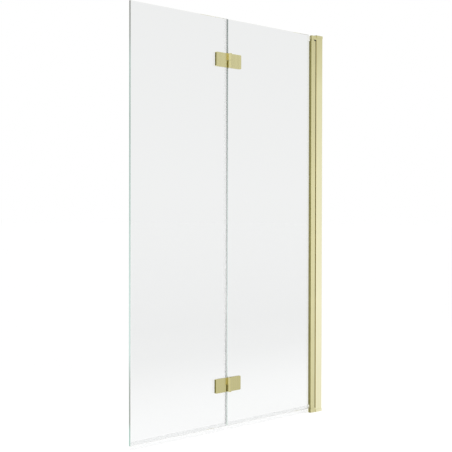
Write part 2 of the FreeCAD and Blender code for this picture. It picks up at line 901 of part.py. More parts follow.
# Bottom seals: a clip on the glass, a hollow tube under it and two lips down to the rim
def make_bottom_seal(label, start, end):
    body = new_body(label)
    section = new_sketch(body, "YZ_Plane", start)
    half_tube = "(dims.seal_tube_width / 2)"
    half_spread = "(dims.seal_lip_spread / 2)"
    half = [
        ("layout.seal_inside", "layout.seal_floor"),
        ("layout.seal_inside", "layout.seal_top"),
        ("layout.seal_outside", "layout.seal_top"),
        ("layout.seal_outside", "layout.seal_under"),
        (half_tube, "layout.seal_under"),
        (half_tube, "dims.seal_tube_foot"),
        (half_spread, "dims.seal_lip_foot"),
        (f"{half_spread} - dims.seal_lip / 2", "dims.seal_lip_foot"),
        (f"{half_tube} - dims.seal_lip", "dims.seal_tube_foot - dims.seal_tube_wall"),
    ]
    mirrored = [(f"-({y})", z) for y, z in reversed(half)]
    outline(section, half + mirrored)
    hollow = f"({half_tube} - dims.seal_tube_wall)"
    rectangle(
        section,
        f"-{hollow}",
        hollow,
        "dims.seal_tube_foot",
        "layout.seal_under - dims.seal_tube_wall",
    )
    pad(body, section, f"({end}) - ({start})")
    return body


# Joint seals on the outer glass edge, cut clear of the hinges
def make_joint_seal(label, foot, top):
    body = new_body(label)
    section = new_sketch(body, "XY_Plane", foot)
    heel = "(layout.outer_edge + dims.loose_fit)"
    nose = f"({heel} + dims.joint_seal_base)"
    outside = "(layout.seal_inside + dims.joint_seal_wall)"
    tip = "(layout.inner_edge - dims.joint_seal_clearance)"
    leg = "(layout.outer_edge - dims.joint_seal_leg)"
    half = [
        (heel, "layout.seal_inside"),
        (leg, "layout.seal_inside"),
        (leg, outside),
        (nose, outside),
        (nose, "dims.joint_seal_lip"),
        (tip, "dims.joint_seal_lip / 2"),
    ]
    mirrored = [(x, f"-({y})") for x, y in reversed(half)]
    outline(section, half + mirrored)
    pad(body, section, f"({top}) - ({foot})")
    return body


def make_joint_seals():
    clear = "layout.half_hinge + dims.seal_end_gap"
    return [
        make_joint_seal("joint_seal_top", f"layout.upper_hinge + {clear}", "layout.glass_top"),
        make_joint_seal(
            "joint_seal_middle",
            f"layout.lower_hinge + {clear}",
            f"layout.upper_hinge - ({clear})",
        ),
        make_joint_seal(
            "joint_seal_bottom",
            "layout.seal_top + dims.seal_end_gap",
            f"layout.lower_hinge - ({clear})",
        ),
    ]


# Assembly
parts = [
    make_wall_channel(),
    make_hinge_post(),
    make_gap_seal(),
    make_pivot_profile(),
    make_glazing_gasket(),
    make_inner_glass(),
    make_outer_glass(),
    make_hinge_pins(),
    make_knuckle_bushes(),
    make_pivot_pins(),
    make_pivot_bushes(),
]
for end, is_top in (("top", True), ("bottom", False)):
    parts.append(make_pivot_block(f"{end}_pivot_block", is_top))
    parts.append(make_post_cap(f"{end}_post_cap", is_top))
    parts.append(make_pivot_plug(f"{end}_pivot_plug", is_top))
for which, side in SIDES.items():
    for name, level in LEVELS.items():
        parts.append(make_leaf(f"{name}_{which}_leaf", side, level))
    parts.append(make_clamp_plates(f"{which}_clamp_plates", side))
    parts.append(make_hinge_pads(f"{which}_hinge_pads", side))
    parts.append(make_clamp_screws(f"{which}_clamp_screws", side))
parts.append(make_bottom_seal("outer_bottom_seal", "layout.free_edge", "layout.outer_edge"))
parts.append(
    make_bottom_seal("inner_bottom_seal", "layout.inner_edge", "layout.pivot_face - dims.seal_end_gap")
)
parts += make_joint_seals()
doc.recompute()

# Every object has to be sound before anything is written
for item in doc.Objects:
    if "Invalid" in item.State or "Error" in item.State:
        raise RuntimeError(f"{item.Label} failed: {item.State}")
for part in parts:
    if part.Shape.isNull() or not part.Shape.isValid():
        raise RuntimeError(f"{part.Label} has no sound shape")

os.makedirs("parts", exist_ok=True)
for part in parts:
    part.Shape.exportStep(os.path.join("parts", f"{part.Label}.step"))
print(len(parts), "parts written")
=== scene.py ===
# %% [markdown]
# # A folding glass bath screen in brushed brass
# This lesson dresses a finished CAD model. The model comes in as a fixed frame: every solid already
# sits in its place, in metres. We never move it. We give each solid a finish, add the small fittings
# that the CAD leaves out, and light the whole like a catalogue picture.

import json
import math

import bmesh
import bpy
from mathutils import Matrix, Quaternion, Vector


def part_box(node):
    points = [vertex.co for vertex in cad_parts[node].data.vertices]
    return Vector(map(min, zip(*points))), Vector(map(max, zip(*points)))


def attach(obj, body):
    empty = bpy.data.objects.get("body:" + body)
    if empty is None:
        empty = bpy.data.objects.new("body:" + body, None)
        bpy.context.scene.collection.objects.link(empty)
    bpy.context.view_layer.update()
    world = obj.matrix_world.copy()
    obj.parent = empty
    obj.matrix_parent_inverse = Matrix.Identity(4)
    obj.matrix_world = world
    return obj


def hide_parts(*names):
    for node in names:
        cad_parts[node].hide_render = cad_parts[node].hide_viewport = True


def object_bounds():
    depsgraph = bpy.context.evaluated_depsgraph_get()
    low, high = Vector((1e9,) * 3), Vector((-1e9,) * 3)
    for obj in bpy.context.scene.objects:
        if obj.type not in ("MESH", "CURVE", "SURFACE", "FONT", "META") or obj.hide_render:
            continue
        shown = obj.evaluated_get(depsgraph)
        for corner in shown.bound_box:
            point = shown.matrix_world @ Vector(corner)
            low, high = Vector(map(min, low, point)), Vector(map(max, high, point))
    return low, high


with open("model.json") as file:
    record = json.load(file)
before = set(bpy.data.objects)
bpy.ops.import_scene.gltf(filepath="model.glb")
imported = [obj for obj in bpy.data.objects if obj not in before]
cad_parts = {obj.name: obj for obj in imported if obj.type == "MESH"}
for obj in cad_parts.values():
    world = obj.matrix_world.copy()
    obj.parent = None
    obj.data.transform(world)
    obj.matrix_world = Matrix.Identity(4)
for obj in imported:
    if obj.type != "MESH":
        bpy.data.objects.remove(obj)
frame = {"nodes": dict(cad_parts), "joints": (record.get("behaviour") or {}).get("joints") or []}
nodes = frame["nodes"]
cad_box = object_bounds()
print("CAD box in metres:", [round(side, 4) for side in cad_box[1] - cad_box[0]])

# %% [markdown]
# ## The camera
# The picture was taken from the left of the screen and a little more than half way up it, with a long
# lens, so its upright edges stay upright. The place was worked out from the corners of the glass and
# the hinges. A track quaternion turns the camera along its line of sight without any trigonometry,
# and a second quaternion adds the tenth of a degree by which the picture leans.

# %% Place the camera
CAMERA_PLACE = (-3.5920, -2.5882, 0.7447)
LINE_OF_SIGHT = Vector((0.76279, 0.64654, -0.01201))
CAMERA_LEAN = math.radians(0.102)
SENSOR_WIDTH = 36.0
LENS = 93.774
camera_data = bpy.data.cameras.new("camera")
camera_data.sensor_width = SENSOR_WIDTH
camera_data.lens = LENS
camera = bpy.data.objects.new("camera", camera_data)
bpy.context.scene.collection.objects.link(camera)
camera.location = CAMERA_PLACE
camera.rotation_mode = "QUATERNION"
camera.rotation_quaternion = LINE_OF_SIGHT.to_track_quat("-Z", "Y") @ Quaternion((0, 0, 1), CAMERA_LEAN)
bpy.context.scene.camera = camera
print("lens", LENS, "mm, looking along", [round(part, 3) for part in LINE_OF_SIGHT])

# %% [markdown]
# ## Helpers for node trees
# A finish is a small tree of nodes around one Principled shader. The first helper adds a node and
# fills its sockets: a value that is itself a socket is linked, and a name such as _1 means the socket
# of that number. The others do arithmetic, stretch a range, mix two colours, run from a dark colour
# to a pale one, and start, close and paint a finish.

# %% Helpers: add a node, reckon, stretch a range
def add(tree, kind, settings=None, **sockets):
    made = tree.nodes.new(kind)
    for name, setting in (settings or {}).items():
        setattr(made, name, setting)
    for name, value in sockets.items():
        key = int(name[1:]) if name[1:].isdigit() else name.replace("_", " ")
        if isinstance(value, bpy.types.NodeSocket):
            tree.links.new(value, made.inputs[key])
        else:
            made.inputs[key].default_value = value
    return made


def reckon(tree, operation, *values):
    sockets = {f"_{place}": value for place, value in enumerate(values)}
    return add(tree, "ShaderNodeMath", {"operation": operation}, **sockets).outputs["Value"]


def span(tree, value, start, end, low=0.0, high=1.0):
    limits = {"From_Min": start, "From_Max": end, "To_Min": low, "To_Max": high}
    return add(tree, "ShaderNodeMapRange", Value=value, **limits).outputs["Result"]


# %% Helpers: blend two colours, run from one to the other
COLOUR_INPUTS = (6, 7)
COLOUR_OUTPUT = 2


def blend_colours(tree, share, first, second, way="MIX"):
    mix = add(tree, "ShaderNodeMix", {"data_type": "RGBA", "blend_type": way}, _0=share)
    for place, colour in zip(COLOUR_INPUTS, (first, second)):
        if isinstance(colour, bpy.types.NodeSocket):
            tree.links.new(colour, mix.inputs[place])
        else:
            mix.inputs[place].default_value = (*colour, 1.0)
    return mix.outputs[COLOUR_OUTPUT]


def two_tone(tree, value, dark, pale, start=0.0, end=1.0):
    ramp = add(tree, "ShaderNodeValToRGB", Fac=value)
    ramp.color_ramp.elements[0].position = start
    ramp.color_ramp.elements[0].color = (*dark, 1.0)
    ramp.color_ramp.elements[1].position = end
    ramp.color_ramp.elements[1].color = (*pale, 1.0)
    return ramp.outputs["Color"]


# %% Helpers: start, close and paint a finish
def start_finish(name):
    finish = bpy.data.materials.new(name)
    finish.use_nodes = True
    finish.node_tree.nodes.clear()
    return finish, finish.node_tree


def close_finish(tree, shader):
    output = add(tree, "ShaderNodeOutputMaterial")
    tree.links.new(shader.outputs["BSDF"], output.inputs["Surface"])


def paint(finish, *names):
    for name in names:
        nodes[name].data.materials.clear()
        nodes[name].data.materials.append(finish)
    print(finish.name, "on", ", ".join(names))


# %% [markdown]
# ## Studio light
# Clear glass only shows by what it darkens and mirrors, so a catalogue picture puts it before pure
# white. The world here is a white tent. A radial gradient turns a direction into a compass angle, and
# a colour ramp gives the brightness of the tent wall at each angle. A warm dark card hangs at the
# left and back, and the side faces of the brass mirror it, which gives them their deep tone. A
# second, low card stands straight behind, and the top and bottom faces of the hinges mirror that one
# as thin dark lines. The wall fades a little upwards, and the roof is brighter, for the floor.
#
# The lens sees plain white, straight on and through the glass. The Standard view transform keeps it
# white.

# %% Hang the tent wall and its cards
bpy.context.scene.view_settings.view_transform = "Standard"
WHITE = (1.0, 1.0, 1.0)
BLACK = (0.0, 0.0, 0.0)
BRIGHT = (1.15, 1.15, 1.15)
SIDE_CARD = (0.20, 0.19, 0.03)
BACK_CARD = (0.55, 0.52, 0.34)
BACK_CARD_END, BACK_CARD_FULL = 0.30, 0.18
FULL_TURN = 360.0
ALONG_X = 0.5
TENT_WALL = {
    -150: BRIGHT, -100: BRIGHT, -60: WHITE,
    124: WHITE, 130: SIDE_CARD, 152: SIDE_CARD, 164: WHITE,
}
BACK_CARD_REACH = {15: BLACK, 25: WHITE, 55: WHITE, 65: BLACK}


def round_wall(tree, compass, plain, stops):
    ramp = add(tree, "ShaderNodeValToRGB", Fac=compass)
    for end_stop in ramp.color_ramp.elements:
        end_stop.color = (*plain, 1.0)
    for angle, colour in stops.items():
        ramp.color_ramp.elements.new(angle / FULL_TURN + ALONG_X).color = (*colour, 1.0)
    return ramp.outputs["Color"]


tent = bpy.data.worlds.new("white_tent")
bpy.context.scene.world = tent
tent.use_nodes = True
tree = tent.node_tree
tree.nodes.clear()
direction = add(tree, "ShaderNodeTexCoord").outputs["Generated"]
height = add(tree, "ShaderNodeSeparateXYZ", Vector=direction).outputs["Z"]
gradient = add(tree, "ShaderNodeTexGradient", {"gradient_type": "RADIAL"}, Vector=direction)
compass = gradient.outputs["Fac"]
wall = round_wall(tree, compass, WHITE, TENT_WALL)
low_down = span(tree, reckon(tree, "ABSOLUTE", height), BACK_CARD_END, BACK_CARD_FULL)
behind = reckon(tree, "MULTIPLY", round_wall(tree, compass, BLACK, BACK_CARD_REACH), low_down)
wall = blend_colours(tree, behind, wall, BACK_CARD)
print("white tent with a side card and a back card")

# %% Light the tent
WALL_FOOT, WALL_HEAD = 1.06, 0.86
FALL_REACH = 0.15
ROOF_START, ROOF_FULL = 0.4, 0.8
ROOF_EXTRA = 0.325
fall = span(tree, height, -FALL_REACH, FALL_REACH, WALL_FOOT, WALL_HEAD)
roof = span(tree, height, ROOF_START, ROOF_FULL, 0.0, ROOF_EXTRA)
path = add(tree, "ShaderNodeLightPath")
straight = reckon(tree, "MAXIMUM", path.outputs["Is Camera Ray"], path.outputs["Is Transmission Ray"])
lit = add(tree, "ShaderNodeBackground", Color=wall, Strength=reckon(tree, "ADD", fall, roof))
plain = add(tree, "ShaderNodeBackground", Color=(*WHITE, 1.0), Strength=1.0)
seen = add(tree, "ShaderNodeMixShader", Fac=straight, _1=lit.outputs[0], _2=plain.outputs[0])
add(tree, "ShaderNodeOutputWorld", Surface=seen.outputs["Shader"])
print("tent lit, with", len(tree.nodes), "nodes")

# %% [markdown]
# ## The floor
# The screen stands on the rim of a bath, which is level with the bottom of the model. A plain, nearly
# white sheet takes its place. In the studio it is a light table: it glows by itself, most under the
# screen and before it, so no hard shadow lies on it and the foot of the glass looks lighter than its
# top. It reaches to the horizon, so no edge of it shows through the glass. Mirrored rays pass it by,
# so that the brass mirrors the tent wall alike from top to bottom.

# %% Mix the glow of the light table
TABLE_ALBEDO = 0.35
TABLE_ROUGHNESS = (0.85, 0.95)
TABLE_GLOW = 0.651
FOOT_GLOW = 0.11
GLOW_TONE = (0.99, 0.99, 1.0)
FOOT_START, FOOT_REACH = 0.15, 1.6
floor_finish, tree = start_finish("light_table")
place = add(tree, "ShaderNodeTexCoord").outputs["Object"]
away = add(tree, "ShaderNodeSeparateXYZ", Vector=place).outputs["Y"]
glow = add(
    tree, "ShaderNodeMapRange", {"interpolation_type": "SMOOTHSTEP"}, Value=away,
    From_Min=FOOT_START, From_Max=FOOT_REACH, To_Min=TABLE_GLOW + FOOT_GLOW, To_Max=TABLE_GLOW,
)
grain = add(tree, "ShaderNodeTexNoise", Vector=place, Scale=40.0, Detail=2.0).outputs["Fac"]
matt = add(
    tree, "ShaderNodeBsdfPrincipled", Base_Color=(TABLE_ALBEDO, TABLE_ALBEDO, TABLE_ALBEDO, 1.0),
    Roughness=span(tree, grain, 0.0, 1.0, *TABLE_ROUGHNESS), Specular_IOR_Level=0.0,
    Emission_Color=(*GLOW_TONE, 1.0), Emission_Strength=glow.outputs["Result"],
)
close_finish(tree, matt)
print("light table glows at", TABLE_GLOW, "with", FOOT_GLOW, "more under the screen")

# %% Lay the light table
TABLE_REACH = 60.0
sheet = bmesh.new()
bmesh.ops.create_grid(sheet, x_segments=1, y_segments=1, size=TABLE_REACH)
bmesh.ops.translate(sheet, vec=(0.0, 0.0, cad_box[0].z), verts=sheet.verts)
floor_mesh = bpy.data.meshes.new("floor")
sheet.to_mesh(floor_mesh)
sheet.free()
floor_mesh.materials.append(floor_finish)
floor = bpy.data.objects.new("floor", floor_mesh)
bpy.context.scene.collection.objects.link(floor)
floor.visible_glossy = False
print("light table at", round(cad_box[0].z, 4), "m")

# %% [markdown]
# ## Painted light and shade that change with height
# A screen is taller than the tent's light is even, and its colours carry that as painted light and
# shade: its brass is painted a little deeper at the top, and its glass edges are painted paler near
# the pale floor, as a painted reflection of it. A ramp up the piece holds a tone for each height in
# metres, so a change of tone is one entry in a table. Where one colour only gets darker or paler, the
# table holds its share at each height.

# %% Helpers: shares of a tint, tones up a piece
def tinted(shares, tint=WHITE):
    return {height: [part * share for part in tint] for height, share in shares.items()}


def height_ramp(tree, place, tones):
    level = add(tree, "ShaderNodeSeparateXYZ", Vector=place).outputs["Z"]
    ramp = add(tree, "ShaderNodeValToRGB", Fac=reckon(tree, "DIVIDE", level, cad_box[1].z))
    foot, *between, head = tones.items()
    ramp.color_ramp.elements[0].color = (*foot[1], 1.0)
    ramp.color_ramp.elements[1].color = (*head[1], 1.0)
    for height, tone in between:
        ramp.color_ramp.elements.new(height / cad_box[1].z).color = (*tone, 1.0)
    return ramp.outputs["Color"]


# %% [markdown]
# ## Brushed brass
# The profiles are drawn from aluminium and finished in a pale brass colour, then brushed lengthwise.
# Brushing leaves fine lines that spread a reflection across them. A noise stretched along the brush
# gives the lines: it moves the colour a little, the roughness more, and lifts a faint bump. A second,
# slow noise keeps a 1.4 m length from looking printed.
#
# Three places differ in the picture, and the brass carries them as painted light and shade. The post's
# flank, in the gap beside the swinging profile, is painted a deep gold as painted shade. So is the
# root of each knuckle, in the upper half of the outer leaf, as painted shade. The round of the knuckle
# is painted pale, a painted highlight.
# The places come from the frame: the axis of the fold, and the heights of the two hinges.

# %% Helpers: where the joints and the hinges are
def joint_place(name):
    return next(joint["pos_m"] for joint in frame["joints"] if joint["name"] == name)


def middle_height(name):
    low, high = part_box(name)
    return (low.z + high.z) / 2


FOLD_X, FOLD_Y, _ = joint_place("panel_fold")
HINGE_MIDDLE = middle_height("lower_outer_leaf")
HINGE_PITCH = middle_height("upper_outer_leaf") - HINGE_MIDDLE
print("hinges", round(HINGE_PITCH, 4), "m apart on a fold at", round(FOLD_X, 4), "m")

# %% Helpers: painted shade on the flank and the knuckle's root, a painted highlight on the knuckle
FLANK_SHADE_GOLD = (0.79, 0.65, 0.25)
FLANK_FULL, FLANK_END = 0.0002, 0.0008
ROOT_SHADE_GOLD = (0.78, 0.70, 0.42)
ROOT_START, ROOT_FULL, ROOT_END = 0.0200, 0.0110, 0.0080
KNUCKLE_HIGHLIGHT_GOLD = (1.0, 0.96, 0.70)
HIGHLIGHT_START, HIGHLIGHT_FULL = 0.0032, 0.0012
KNUCKLE_REACH, KNUCKLE_BACK = 0.0068, 0.0036


# Painted shade: darkens the post's flank, in the gap beside the pivot profile, to a deep gold.
def painted_flank_shade(tree, place, base):
    across = add(tree, "ShaderNodeSeparateXYZ", Vector=place).outputs["X"]
    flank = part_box("hinge_post")[0].x
    in_gap = span(tree, across, flank + FLANK_END, flank + FLANK_FULL)
    return blend_colours(tree, in_gap, base, FLANK_SHADE_GOLD, "MULTIPLY")


# Painted shade: darkens the outer leaf's plate beside the knuckle, in each hinge's upper half, to a deep
# gold.
def painted_root_shade(tree, place, base):
    spot = add(tree, "ShaderNodeSeparateXYZ", Vector=place)
    beside = span(tree, spot.outputs["X"], FOLD_X - ROOT_START, FOLD_X - ROOT_FULL)
    on_plate = reckon(tree, "LESS_THAN", spot.outputs["X"], FOLD_X - ROOT_END)
    up_hinge = reckon(tree, "MODULO", spot.outputs["Z"], HINGE_PITCH)
    upper_half = reckon(tree, "GREATER_THAN", up_hinge, HINGE_MIDDLE)
    root = reckon(tree, "MULTIPLY", reckon(tree, "MULTIPLY", beside, on_plate), upper_half)
    return blend_colours(tree, root, base, ROOT_SHADE_GOLD, "MULTIPLY")


# Painted highlight: paints the round of the knuckle pale.
def painted_knuckle_highlight(tree, place, base):
    spot = add(tree, "ShaderNodeSeparateXYZ", Vector=place)
    behind_crest = span(tree, spot.outputs["Y"], FOLD_Y - HIGHLIGHT_START, FOLD_Y - HIGHLIGHT_FULL)
    on_knuckle = reckon(tree, "GREATER_THAN", spot.outputs["X"], FOLD_X - KNUCKLE_REACH)
    proud = reckon(tree, "LESS_THAN", spot.outputs["Y"], FOLD_Y + KNUCKLE_BACK)
    lit_round = reckon(tree, "MULTIPLY", reckon(tree, "MULTIPLY", on_knuckle, proud), behind_crest)
    return blend_colours(tree, lit_round, base, KNUCKLE_HIGHLIGHT_GOLD)


# %% Mix the brass
SLOW_SHARE = 0.35
BRUSH_RANGE = (0.40, 0.95)
DARK_LINE, PALE_LINE = 0.90, 1.06
SATIN_BELOW, SATIN_ABOVE = 0.07, 0.09
BRUSH_STRENGTH, BRUSH_DEPTH = 0.12, 0.0004


def brushed_brass(name, brush, tone, satin, painted_shading, flank=False, knuckle=False):
    finish, tree = start_finish(name)
    place = add(tree, "ShaderNodeTexCoord").outputs["Object"]
    drawn = add(tree, "ShaderNodeMapping", Vector=place, Scale=brush).outputs["Vector"]
    lines = add(tree, "ShaderNodeTexNoise", Vector=drawn, Scale=1.0, Detail=4.0, Roughness=0.6)
    slow = add(tree, "ShaderNodeTexNoise", Vector=place, Scale=9.0, Detail=2.0)
    both = reckon(tree, "MULTIPLY_ADD", slow.outputs["Fac"], SLOW_SHARE, lines.outputs["Fac"])
    dark = [part * DARK_LINE for part in tone]
    pale = [min(part * PALE_LINE, 1.0) for part in tone]
    hue = two_tone(tree, both, dark, pale, *BRUSH_RANGE)
    # The colour is multiplied by a painted light and shade by height.
    base = blend_colours(tree, 1.0, hue, height_ramp(tree, place, painted_shading), "MULTIPLY")
    # Painted shade on the flank and the knuckle's root, and a painted highlight on the knuckle's round.
    if flank:
        base = painted_flank_shade(tree, place, base)
    if knuckle:
        base = painted_knuckle_highlight(tree, place, painted_root_shade(tree, place, base))
    relief = add(
        tree, "ShaderNodeBump", Height=lines.outputs["Fac"],
        Strength=BRUSH_STRENGTH, Distance=BRUSH_DEPTH,
    )
    metal = add(
        tree, "ShaderNodeBsdfPrincipled", Metallic=1.0, Base_Color=base,
        Roughness=span(tree, both, *BRUSH_RANGE, satin - SATIN_BELOW, satin + SATIN_ABOVE),
        Normal=relief.outputs["Normal"],
    )
    close_finish(tree, metal)
    return finish


# %% Brush the post, the pivot profile and the hinges
FINE_LINES = (900.0, 900.0, 5.0)
BOLD_LINES = (380.0, 380.0, 6.0)
POST_TONE, POST_SATIN = (0.86, 0.825, 0.555), 0.36
PIVOT_TONE, PIVOT_SATIN = (0.70, 0.66, 0.385), 0.30
HINGE_TONE, HINGE_SATIN = (0.63, 0.59, 0.32), 0.25
# Painted light and shade by height: each table multiplies its brass's colour, so the profiles and hinges
# are painted lighter and darker up the screen.
POST_PAINTED_SHADING = {
    0.0: (0.98, 0.98, 0.98), 0.4: (1.07, 1.07, 1.10), 0.8: (1.05, 1.05, 1.04),
    1.2: (0.98, 0.98, 0.90), 1.33: (0.87, 0.86, 0.735), 1.4: (0.83, 0.82, 0.685),
}
PIVOT_PAINTED_SHADING = {
    0.0: (0.93, 0.93, 0.90), 0.4: (1.06, 1.06, 1.06), 0.8: (1.13, 1.13, 1.13),
    1.2: (1.06, 1.06, 1.04), 1.4: (1.00, 1.00, 0.93),
}
HINGE_PAINTED_SHADING = {0.0: (0.83, 0.82, 0.75), 1.4: (1.12, 1.12, 1.12)}
post_brass = brushed_brass("post_brass", FINE_LINES, POST_TONE, POST_SATIN, POST_PAINTED_SHADING, flank=True)
cap_brass = brushed_brass("cap_brass", FINE_LINES, POST_TONE, POST_SATIN, POST_PAINTED_SHADING)
pivot_brass = brushed_brass("pivot_brass", FINE_LINES, PIVOT_TONE, PIVOT_SATIN, PIVOT_PAINTED_SHADING)
hinge_brass = brushed_brass(
    "hinge_brass", BOLD_LINES, HINGE_TONE, HINGE_SATIN, HINGE_PAINTED_SHADING, knuckle=True
)
paint(post_brass, "hinge_post")
paint(cap_brass, "wall_channel", "top_post_cap", "bottom_post_cap")
paint(pivot_brass, "pivot_profile", "top_pivot_plug", "bottom_pivot_plug")
paint(pivot_brass, "top_pivot_block", "bottom_pivot_block")
paint(hinge_brass, "upper_inner_leaf", "lower_inner_leaf", "upper_outer_leaf", "lower_outer_leaf")
paint(hinge_brass, "inner_clamp_plates", "outer_clamp_plates")

# %% [markdown]
# ## Clear glass with green edges
# Safety glass looks colourless through its face, because light only crosses 8 mm of it. A cut edge
# shows light that has run along inside the sheet, so it looks green. One shader can hold both: the
# sheet lies along X and Z, so where a face's own normal points along Y the glass is clear, and
# elsewhere it is the polished green edge. The normal is the object's, so a folded panel keeps its
# edges. Across its thickness an edge has a pale arris, where the corner is ground off, a teal front
# and a grey back, and each has its tones up the sheet: painted paler near the floor as a painted
# reflection of it, and painted darker in bands as painted shade. Seen from within the sheet an edge
# stays clear and mirrors, as it does in the real glass, and a little painted grey low on the upright
# edges stands for the grey that they mirror there, a painted reflection. In the picture the face is
# greyest at knee height, by a few hundredths, and its tint follows that as painted shade.

# %% Tables of glass tones
# The teal, the grey and the pale arris are the glass's own. Their paling and darkening with height is
# painted reflection and painted shade.
INNER_ARRIS = {
    0.0: (0.84, 0.95, 0.92), 0.4: (0.84, 0.95, 0.93), 0.8: (0.84, 0.88, 0.87), 1.4: (0.86, 0.88, 0.875),
}
INNER_FRONT = {
    0.0: (0.80, 0.90, 0.87), 0.4: (0.84, 0.96, 0.93), 0.8: (0.73, 0.86, 0.83),
    1.13: (0.47, 0.60, 0.57), 1.4: (0.27, 0.38, 0.355),
}
INNER_BACK = {
    0.0: (0.63, 0.69, 0.68), 0.25: (0.70, 0.74, 0.73), 0.45: (0.69, 0.71, 0.70),
    0.7: (0.55, 0.56, 0.55), 1.0: (0.40, 0.405, 0.40), 1.4: (0.30, 0.30, 0.30),
}
OUTER_EDGE = {
    0.0: (0.50, 0.68, 0.63), 0.06: (0.48, 0.66, 0.61), 0.09: (0.40, 0.44, 0.42), 0.2: (0.44, 0.49, 0.47),
    0.3: (0.66, 0.82, 0.79), 0.5: (0.62, 0.79, 0.75), 1.0: (0.45, 0.56, 0.53), 1.22: (0.49, 0.60, 0.57),
    1.3: (0.39, 0.42, 0.41), 1.4: (0.37, 0.38, 0.375),
}
FACE_TINT = (0.860, 0.868, 0.866)
# Painted shade: the face's tint by height, greyest at knee height.
FACE_PAINTED_SHADE = {0.0: 0.998, 0.12: 0.986, 0.25: 0.984, 0.37: 0.963, 0.6: 0.991, 0.8: 1.007, 1.4: 0.994}
INSIDE_TINT = (0.40, 0.41, 0.41)
PAINTED_REFLECTION_TINT = (0.08, 0.085, 0.085)
# Painted reflection: seen from within, the upright edges are painted grey low down, for the grey they
# mirror there.
INSIDE_PAINTED_REFLECTION = {0.0: 0.60, 0.3: 0.50, 0.45: 0.22, 0.7: 0.08, 0.9: 0.0, 1.4: 0.0}
print("edge tones at", len(OUTER_EDGE), "heights on the outer sheet,", len(INNER_BACK), "on the inner")

# %% Helpers: which way a face looks, the tones across an edge
SQUARE_ON = 0.5
FRONT_TO_BACK = (-0.0008, 0.0008)
FRONT_TO_ARRIS = (-0.0021, -0.0027)
CLOUD_SHADES = (0.94, 1.06)


def looks_along(tree, normal, axis):
    part = add(tree, "ShaderNodeSeparateXYZ", Vector=normal).outputs[axis]
    return reckon(tree, "GREATER_THAN", reckon(tree, "ABSOLUTE", part), SQUARE_ON)


def edge_tones(tree, place, arris, front, back):
    across = add(tree, "ShaderNodeSeparateXYZ", Vector=place).outputs["Y"]
    is_back = span(tree, across, *FRONT_TO_BACK)
    is_arris = span(tree, across, *FRONT_TO_ARRIS)
    edge = blend_colours(tree, is_back, height_ramp(tree, place, front), height_ramp(tree, place, back))
    edge = blend_colours(tree, is_arris, edge, height_ramp(tree, place, arris))
    cloud = add(tree, "ShaderNodeTexNoise", Vector=place, Scale=14.0, Detail=2.0).outputs["Fac"]
    shade = span(tree, cloud, 0.0, 1.0, *CLOUD_SHADES)
    clouded = add(tree, "ShaderNodeVectorMath", {"operation": "SCALE"}, _0=edge, Scale=shade)
    return clouded.outputs["Vector"]


# %% Melt the glass
GLASS_IOR = 1.5


def cut_glass(name, arris, front, back):
    finish, tree = start_finish(name)
    look = add(tree, "ShaderNodeTexCoord")
    place = look.outputs["Object"]
    is_face = looks_along(tree, look.outputs["Normal"], "Y")
    is_upright = looks_along(tree, look.outputs["Normal"], "X")
    inside = add(tree, "ShaderNodeNewGeometry").outputs["Backfacing"]
    # Painted reflection low on the upright edges, seen from within the sheet.
    painted_reflection = reckon(tree, "MULTIPLY", is_upright, height_ramp(tree, place, tinted(INSIDE_PAINTED_REFLECTION)))
    clear_inside = reckon(tree, "SUBTRACT", inside, reckon(tree, "MULTIPLY", inside, painted_reflection))
    inside_tint = blend_colours(tree, is_upright, INSIDE_TINT, PAINTED_REFLECTION_TINT)
    rim = blend_colours(tree, inside, edge_tones(tree, place, arris, front, back), inside_tint)
    # The face's tint carries the painted shade by height.
    face = height_ramp(tree, place, tinted(FACE_PAINTED_SHADE, FACE_TINT))
    clear = add(
        tree, "ShaderNodeBsdfPrincipled", IOR=GLASS_IOR, Roughness=0.0,
        Base_Color=blend_colours(tree, is_face, rim, face),
        Transmission_Weight=reckon(tree, "MAXIMUM", is_face, clear_inside),
    )
    close_finish(tree, clear)
    return finish


paint(cut_glass("inner_clear_glass", INNER_ARRIS, INNER_FRONT, INNER_BACK), "inner_glass")
paint(cut_glass("outer_clear_glass", OUTER_EDGE, OUTER_EDGE, OUTER_EDGE), "outer_glass")

# %% [markdown]
# ## What the glass is seen by
# Cycles lets an object hide from chosen rays. The lens sees the glass. The brass behind it, the light
# that falls on the floor and the shadows pass it by, because a clear sheet hardly changes them and
# each such ray would only add noise.

# %% Hide the glass from mirrored and scattered light
for name in ("inner_glass", "outer_glass"):
    nodes[name].visible_glossy = False
    nodes[name].visible_diffuse = False
    nodes[name].visible_shadow = False
print("mirrored light, scattered light and shadows pass the glass by")

# %% [markdown]
# ## Clear seals
# The drip seal under each sheet and the strip between the sheets are extruded from clear soft
# plastic. They are thin, so they show as pale lines rather than bend what is behind them. A low alpha
# does that with less noise than refraction, and a soft cloud in the colour and the roughness breaks
# the gloss. The strip between the sheets has thin legs on the glass and a thick, milky body in the
# gap, so its alpha steps up at the edge of the outer sheet.

# %% Mix the clear vinyl
VINYL_IOR = 1.5
VINYL_ROUGHNESS = (0.18, 0.34)
MILK_DARK = (0.52, 0.54, 0.54)
MILK_PALE = (0.64, 0.66, 0.66)


def clear_vinyl(name):
    finish, tree = start_finish(name)
    place = add(tree, "ShaderNodeTexCoord").outputs["Object"]
    cloud = add(tree, "ShaderNodeTexNoise", Vector=place, Scale=60.0, Detail=2.0).outputs["Fac"]
    milk = two_tone(tree, cloud, MILK_DARK, MILK_PALE)
    satin = span(tree, cloud, 0.0, 1.0, *VINYL_ROUGHNESS)
    vinyl = add(tree, "ShaderNodeBsdfPrincipled", IOR=VINYL_IOR, Roughness=satin, Base_Color=milk)
    close_finish(tree, vinyl)
    return finish, tree, place, milk, vinyl


# %% Extrude the clear seals
DRIP_ALPHA = 0.06
LEG_ALPHA = 0.015
